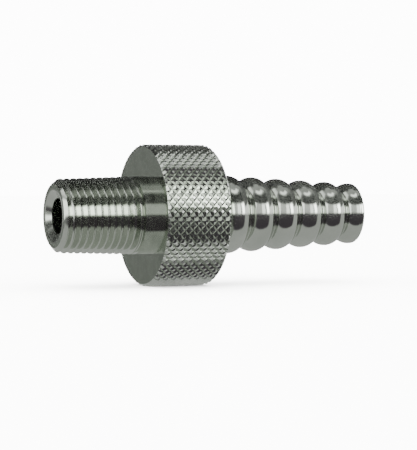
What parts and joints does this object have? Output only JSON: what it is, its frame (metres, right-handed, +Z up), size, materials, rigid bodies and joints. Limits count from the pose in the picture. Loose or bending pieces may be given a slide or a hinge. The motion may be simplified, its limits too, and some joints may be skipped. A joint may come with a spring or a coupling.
{
  "type": "carbon dioxide diffuser",
  "caption": "Turned in-line gas diffuser: male taper thread nipple, knurled round body with a sintered disc and a ribbed hose tail with a check valve.",
  "frame": {"origin": "on the axis, at the hand-tight gauge plane of the male taper thread, 4.1 mm from its tip", "axes": "+X along the axis from the thread towards the hose tail, +Z up"},
  "size_m": [0.0452, 0.0194, 0.0194],
  "materials": {
    "stainless": "turned stainless steel, bright",
    "stainless_knurled": "diamond-knurled stainless steel with bright turned end faces",
    "sintered": "porous sintered stainless steel, matt",
    "spring_steel": "drawn stainless spring wire and strip",
    "ptfe": "white PTFE sheet",
    "rubber": "black moulded rubber"
  },
  "bodies": {
    "fitting": {"threaded_nipple": "stainless", "nipple_o_ring": "rubber", "knurled_body": "stainless_knurled", "front_gasket": "ptfe", "diffuser_disc": "sintered", "rear_gasket": "ptfe", "hose_tail": "stainless", "tail_o_ring": "rubber", "retainer_circlip": "spring_steel", "spring_retainer": "stainless", "check_spring": "spring_steel"},
    "valve": {"poppet": "stainless", "poppet_o_ring": "rubber"}
  },
  "joints": [
    {"name": "poppet_slide", "type": "slide", "parent": "fitting", "child": "valve", "axis": [-1, 0, 0], "range_m": [0, 0.0015], "stiffness_N_per_m": 300, "springref_m": -0.001, "deforming": ["check_spring"]}
  ]
}
